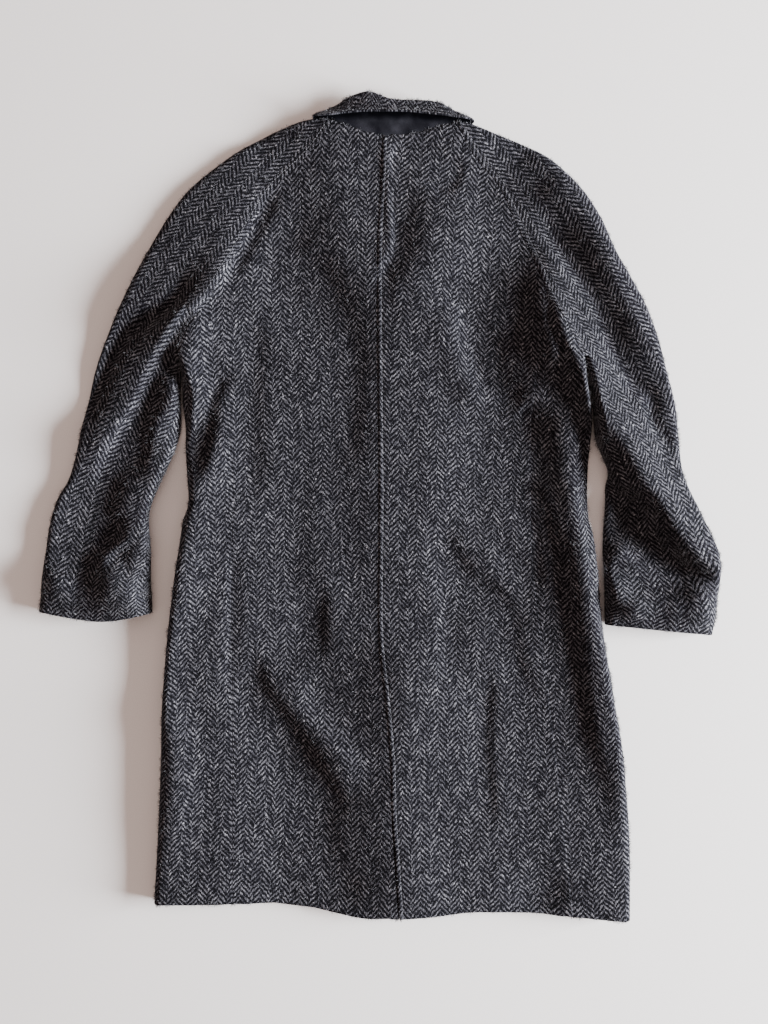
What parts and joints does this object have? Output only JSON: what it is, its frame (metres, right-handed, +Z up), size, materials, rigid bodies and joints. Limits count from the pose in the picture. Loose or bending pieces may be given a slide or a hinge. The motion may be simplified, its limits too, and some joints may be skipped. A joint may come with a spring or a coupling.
{
  "type": "wool overcoat",
  "caption": "Knee-length raglan overcoat in herringbone wool, laid flat with its back up and its collar half turned up.",
  "frame": {"origin": "on the floor, below the middle of the coat's outline", "axes": "+Y from the hem to the collar, +Z up out of the coat's back, +X towards the wearer's right sleeve"},
  "size_m": [0.8857, 1.0745, 0.0369],
  "materials": {
    "herringbone": "woollen herringbone tweed, brushed and matt",
    "melton": "felted wool, matt",
    "horn": "polished, satin"
  },
  "bodies": {
    "root": {"back_left": "herringbone", "back_right": "herringbone", "front_left": "herringbone", "front_right": "herringbone", "sleeve_back_left": "herringbone", "sleeve_back_right": "herringbone", "sleeve_front_left": "herringbone", "sleeve_front_right": "herringbone", "pocket_welt_left": "herringbone", "pocket_welt_right": "herringbone", "upper_collar": "herringbone", "under_collar": "melton", "button_1": "horn", "button_2": "horn", "button_3": "horn", "button_4": "horn"}
  },
  "joints": []
}
